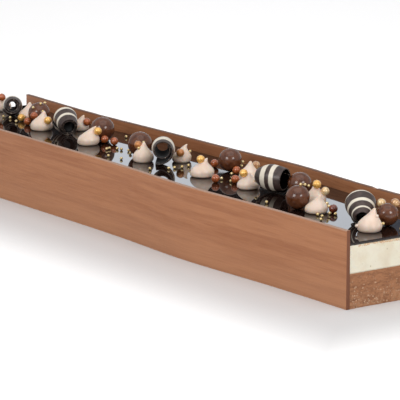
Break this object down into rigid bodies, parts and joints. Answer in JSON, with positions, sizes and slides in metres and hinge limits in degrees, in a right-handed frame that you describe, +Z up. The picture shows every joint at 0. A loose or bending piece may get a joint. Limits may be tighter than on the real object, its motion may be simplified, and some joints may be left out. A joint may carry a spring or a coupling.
{
  "type": "chocolate slab cake",
  "caption": "Long slab cake of brown and cream mousse under a dark mirror glaze, held between upright chocolate plates and topped with chocolate balls, curls, pearls and piped kisses.",
  "frame": {"origin": "middle of the underside of the cake", "axes": "+X along the length, towards the cut end that shows, -Y towards the front plate, +Z up"},
  "size_m": [0.456, 0.0923, 0.0562],
  "materials": {
    "brown_mousse": "matt, crumbly brown mousse",
    "cream_mousse": "matt, smooth cut cream mousse with a few pits",
    "dark_glaze": "mirror-like dark glaze, with golden and milk-brown pearls on it",
    "plate": "satin milk chocolate with faint lengthwise brush streaks",
    "ball": "satin dark milk chocolate",
    "kiss": "smooth beige piped cream",
    "curl": "dark chocolate with cream stripes"
  },
  "bodies": {
    "root": {"brown_mousse": "brown_mousse", "cream_mousse": "cream_mousse", "dark_glaze": "dark_glaze", "plate_front": "plate", "plate_back": "plate", "ball_1": "ball", "ball_2": "ball", "ball_3": "ball", "ball_4": "ball", "ball_5": "ball", "ball_6": "ball", "ball_7": "ball", "ball_8": "ball", "kiss_1": "kiss", "kiss_2": "kiss", "kiss_3": "kiss", "kiss_4": "kiss", "kiss_5": "kiss", "kiss_6": "kiss", "kiss_7": "kiss", "kiss_8": "kiss", "kiss_9": "kiss", "kiss_10": "kiss", "kiss_11": "kiss", "kiss_12": "kiss", "kiss_13": "kiss", "kiss_14": "kiss", "curl_1": "curl", "curl_2": "curl", "curl_3": "curl", "curl_4": "curl", "curl_5": "curl"}
  },
  "joints": []
}
